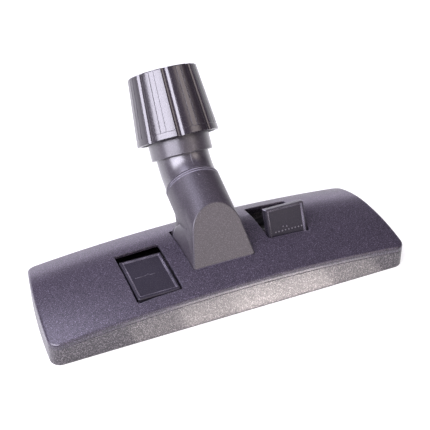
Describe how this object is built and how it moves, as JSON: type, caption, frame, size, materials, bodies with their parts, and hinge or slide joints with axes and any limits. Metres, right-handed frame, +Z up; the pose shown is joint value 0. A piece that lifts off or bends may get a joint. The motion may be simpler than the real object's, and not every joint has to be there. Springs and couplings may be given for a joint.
{
  "type": "vacuum floor brush head",
  "caption": "Wide combination floor tool for a vacuum cleaner, with two changeover pedals, retracting brushes and a tilting, swivelling neck that clamps the wand.",
  "frame": {"origin": "middle of the head's depth and width, on the floor", "axes": "+X across the head to the right seen from the front, +Y back towards the wand, +Z up"},
  "size_m": [0.281, 0.1663, 0.1446],
  "materials": {
    "shell_plastic": "satin with a fine grain",
    "inner_plastic": "matt",
    "neck_plastic": "satin",
    "pedal_plastic": "half gloss",
    "sole_steel": "brushed",
    "lint_pile": "short pile",
    "bristle_hair": "hair",
    "seal_rubber": "matt",
    "fastener_steel": "zinc plated"
  },
  "bodies": {
    "head": {"top_cover": "shell_plastic", "base_body": "shell_plastic", "sole_plate": "sole_steel", "lint_strip_front": "lint_pile", "lint_strip_rear": "lint_pile", "bearing_cap_left": "inner_plastic", "bearing_cap_right": "inner_plastic", "bearing_screws": "fastener_steel", "cover_screws": "fastener_steel", "pedal_pin_left": "fastener_steel", "pedal_pin_right": "fastener_steel"},
    "neck": {"neck_elbow": "neck_plastic"},
    "swivel": {"swivel_tube": "neck_plastic", "swivel_clip": "fastener_steel", "wand_seal": "seal_rubber", "collet_sleeve": "inner_plastic"},
    "collar": {"clamp_collar": "neck_plastic"},
    "pedal_left": {"pedal_left": "pedal_plastic"},
    "pedal_right": {"pedal_right": "pedal_plastic"},
    "carrier": {"brush_carrier": "inner_plastic", "bristle_strip_front": "bristle_hair", "bristle_strip_rear": "bristle_hair"}
  },
  "joints": [
    {"name": "neck_tilt", "type": "hinge", "parent": "head", "child": "neck", "pos_m": [0, 0.0036, 0.016], "axis": [-1, 0, 0], "range_deg": [-6, 24]},
    {"name": "neck_swivel", "type": "hinge", "parent": "neck", "child": "swivel", "pos_m": [0, 0.0409, 0.06235], "axis": [0, 0.9198, 0.3923], "range_deg": [-90, 90]},
    {"name": "collar_turn", "type": "hinge", "parent": "swivel", "child": "collar", "pos_m": [0, 0.05969, 0.07654], "axis": [0, 0.5878, 0.809], "range_deg": [0, 270]},
    {"name": "pedal_left_turn", "type": "hinge", "parent": "head", "child": "pedal_left", "pos_m": [-0.0557, -0.02206, 0.01352], "axis": [1, 0, 0], "range_deg": [0, 66.5]},
    {"name": "pedal_right_turn", "type": "hinge", "parent": "head", "child": "pedal_right", "pos_m": [0.0585, 0.00235, 0.01576], "axis": [1, 0, 0], "range_deg": [-66.5, 0]},
    {"name": "brush_drop", "type": "slide", "parent": "head", "child": "carrier", "axis": [0, 0, -1], "range_m": [0, 0.00654]}
  ],
  "couplings": [
    {"joint": "pedal_left_turn", "follows": "brush_drop", "rad_per_m": 176.25},
    {"joint": "pedal_right_turn", "follows": "brush_drop", "rad_per_m": -176.25}
  ]
}
